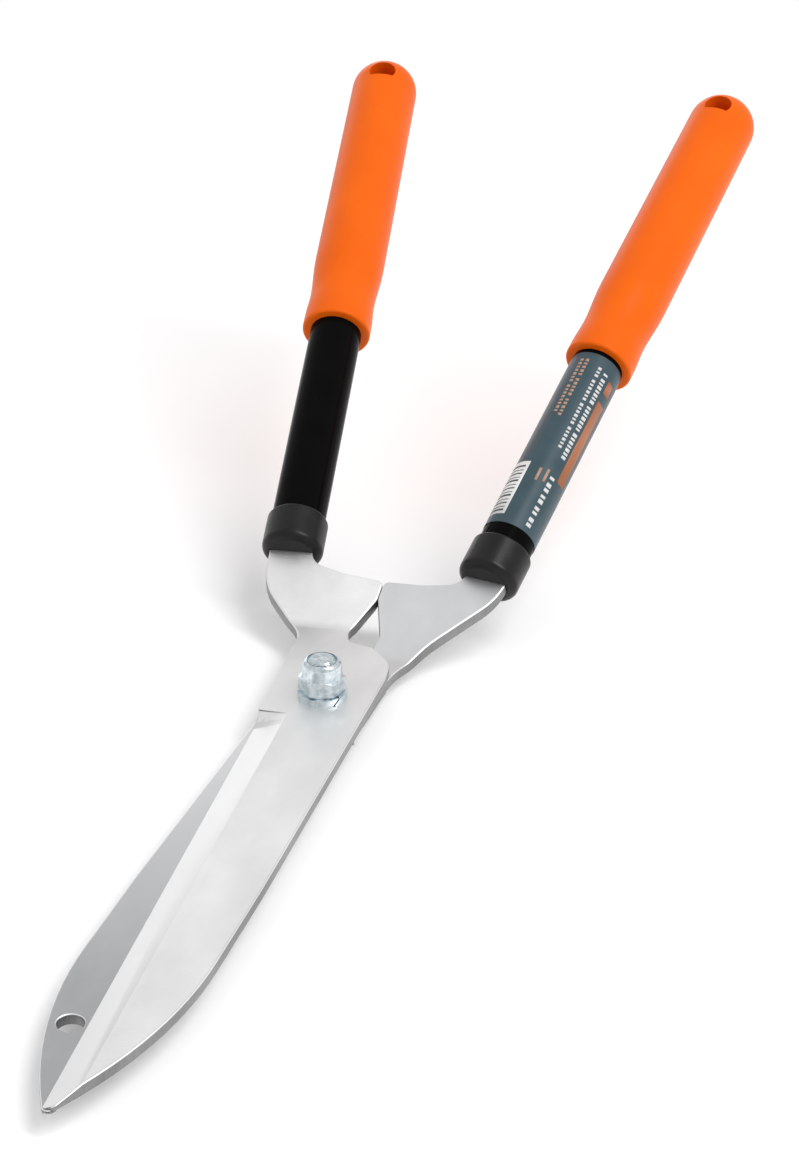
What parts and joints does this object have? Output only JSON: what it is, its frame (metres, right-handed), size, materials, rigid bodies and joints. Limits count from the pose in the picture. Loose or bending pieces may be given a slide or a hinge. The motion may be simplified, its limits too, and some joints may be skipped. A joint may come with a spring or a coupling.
{
  "type": "grass shears",
  "caption": "Two-handed grass and hedge shears: two long straight blades crossing at a bolted pivot, with cranked tubular handles and moulded grips.",
  "frame": {"origin": "centre of the pivot, on the mating plane of the two blades", "axes": "+Y from the blade tips to the handles, +Z along the pivot towards the nut, +X to the right"},
  "size_m": [0.1708, 0.539, 0.1454],
  "materials": {
    "blade_steel": "ground and polished carbon steel, lacquered",
    "zinc_plate": "bright zinc plating",
    "nylon": "natural nylon",
    "black_paint": "gloss powder coat",
    "black_plastic": "satin moulded plastic",
    "orange_grip": "satin-gloss moulded plastic",
    "label_print": "printed film with a varnish"
  },
  "bodies": {
    "lower_half": {"lower_blade": "blade_steel", "pivot_bolt": "zinc_plate", "spring_washer": "zinc_plate", "lock_nut": "zinc_plate", "nut_insert": "nylon", "right_tube": "black_paint", "right_collar": "black_plastic", "right_tang_plug": "black_plastic", "right_grip": "orange_grip", "tube_label": "label_print"},
    "upper_half": {"upper_blade": "blade_steel", "left_tube": "black_paint", "left_collar": "black_plastic", "left_tang_plug": "black_plastic", "left_grip": "orange_grip"}
  },
  "joints": [
    {"name": "pivot", "type": "hinge", "parent": "lower_half", "child": "upper_half", "pos_m": [0, 0, 0], "axis": [0, 0, 1], "range_deg": [0, 70]}
  ]
}
